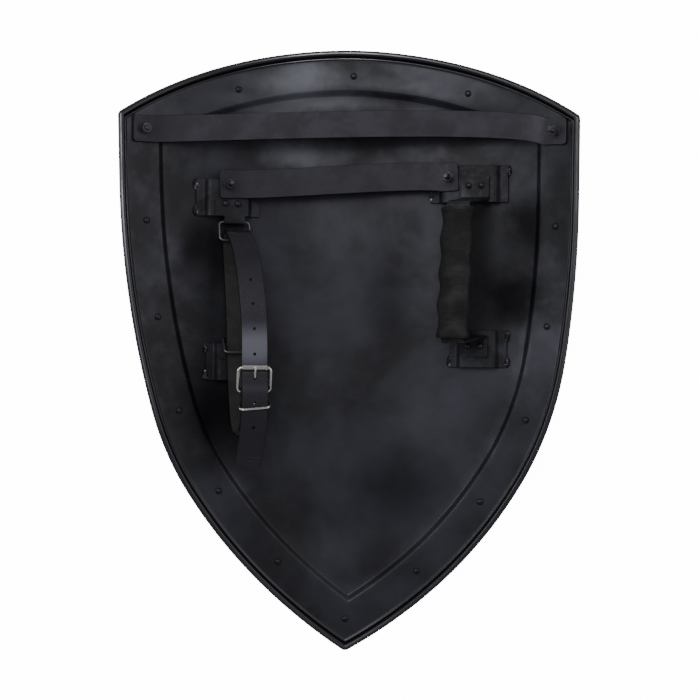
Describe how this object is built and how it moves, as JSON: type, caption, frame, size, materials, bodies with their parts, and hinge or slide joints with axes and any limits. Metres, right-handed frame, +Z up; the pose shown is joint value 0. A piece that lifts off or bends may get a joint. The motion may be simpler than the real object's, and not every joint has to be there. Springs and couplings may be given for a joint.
{
  "type": "heater shield",
  "caption": "Domed steel heater shield lying on its front, hollow back up, with a rolled rim, leather straps, a roller-buckle arm belt and a leather-sleeved hand grip.",
  "frame": {"origin": "centre of the overall box at its lowest level, on the surface the shield lies on", "axes": "+Z up, out of the hollow back; +Y towards the top edge; +X to the right of a person looking into the back"},
  "size_m": [0.4746, 0.6354, 0.0808],
  "materials": {
    "plate_steel": "blackened, satin, with a faint bluish bloom",
    "hardware_steel": "blackened, satin",
    "ring_steel": "dull grey wire",
    "nickel": "polished nickel plate, slightly yellow",
    "belt_leather": "smooth black, satin face and rough dark back",
    "strap_leather": "smooth black, satin",
    "grip_leather": "matte black with a slight olive cast"
  },
  "bodies": {
    "root": {"arm_belt": "belt_leather", "belt_keeper": "nickel", "bracket_lower_left": "plate_steel", "bracket_lower_right": "plate_steel", "bracket_upper_left": "plate_steel", "bracket_upper_right": "plate_steel", "buckle_frame": "nickel", "buckle_roller": "nickel", "buckle_tongue": "nickel", "carrying_nut_left": "hardware_steel", "carrying_nut_right": "hardware_steel", "carrying_screw_left": "hardware_steel", "carrying_screw_right": "hardware_steel", "carrying_strap": "strap_leather", "carrying_washer_left": "hardware_steel", "carrying_washer_right": "hardware_steel", "chape_rivet": "nickel", "cross_nut_left": "hardware_steel", "cross_nut_right": "hardware_steel", "cross_screw_left": "hardware_steel", "cross_screw_right": "hardware_steel", "cross_strap": "strap_leather", "cross_washer_left": "hardware_steel", "cross_washer_right": "hardware_steel", "grip_core": "hardware_steel", "grip_leather": "grip_leather", "grip_rivet_lower_1": "hardware_steel", "grip_rivet_lower_2": "hardware_steel", "grip_rivet_upper_1": "hardware_steel", "grip_rivet_upper_2": "hardware_steel", "rim_rivet_left_1": "hardware_steel", "rim_rivet_left_2": "hardware_steel", "rim_rivet_left_3": "hardware_steel", "rim_rivet_left_4": "hardware_steel", "rim_rivet_left_5": "hardware_steel", "rim_rivet_right_1": "hardware_steel", "rim_rivet_right_2": "hardware_steel", "rim_rivet_right_3": "hardware_steel", "rim_rivet_right_4": "hardware_steel", "rim_rivet_right_5": "hardware_steel", "rim_rivet_tip": "hardware_steel", "rim_rivet_top_left": "hardware_steel", "rim_rivet_top_middle": "hardware_steel", "rim_rivet_top_right": "hardware_steel", "ring_tab_lower": "plate_steel", "ring_tab_upper": "plate_steel", "shield_plate": "plate_steel", "tab_rivet_lower_1": "hardware_steel", "tab_rivet_lower_2": "hardware_steel", "tab_rivet_upper_1": "hardware_steel", "tab_rivet_upper_2": "hardware_steel", "wire_ring_lower": "ring_steel", "wire_ring_upper": "ring_steel"}
  },
  "joints": []
}
